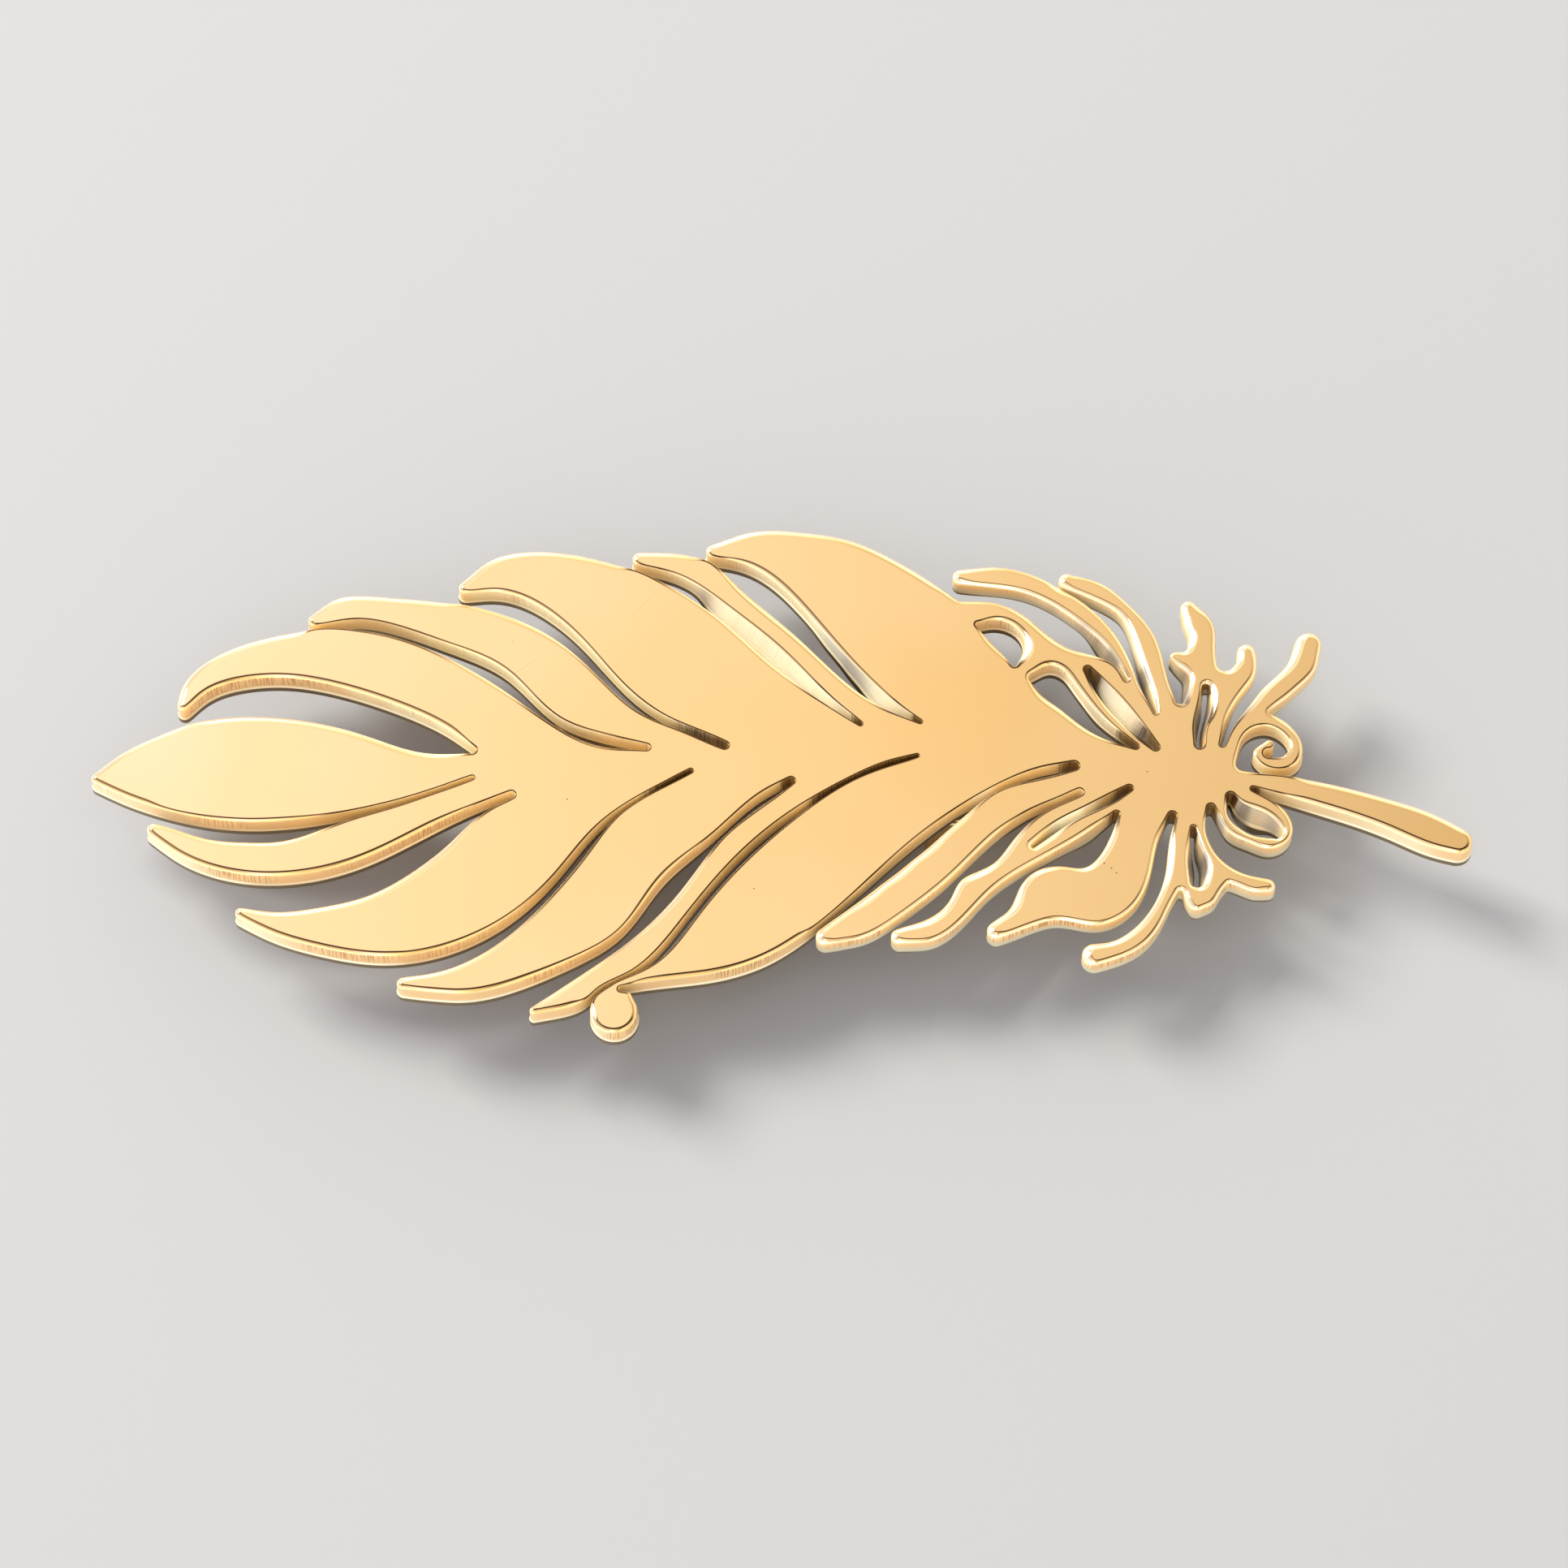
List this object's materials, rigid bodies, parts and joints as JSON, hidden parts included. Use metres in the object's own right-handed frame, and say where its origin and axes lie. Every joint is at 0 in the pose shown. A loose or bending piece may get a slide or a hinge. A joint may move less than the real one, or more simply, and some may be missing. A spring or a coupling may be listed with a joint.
{
  "type": "feather brooch",
  "caption": "Flat polished gold-coloured metal feather with sawn barbs and downy strands, worn by a pin back behind its spine.",
  "frame": {"origin": "middle of the feather's outline seen from above, on the surface that the pin back rests on", "axes": "+X from the feather's tip to its quill, +Y across the feather to its upper side, +Z out of its polished face"},
  "size_m": [0.07, 0.0282, 0.0058],
  "materials": {
    "polished_gold": "mirror polished gold plating, sawn edges brushed",
    "pin_gold": "tumbled gold plating"
  },
  "bodies": {
    "root": {"feather_plate": "polished_gold", "brooch_pin": "pin_gold"}
  },
  "joints": []
}
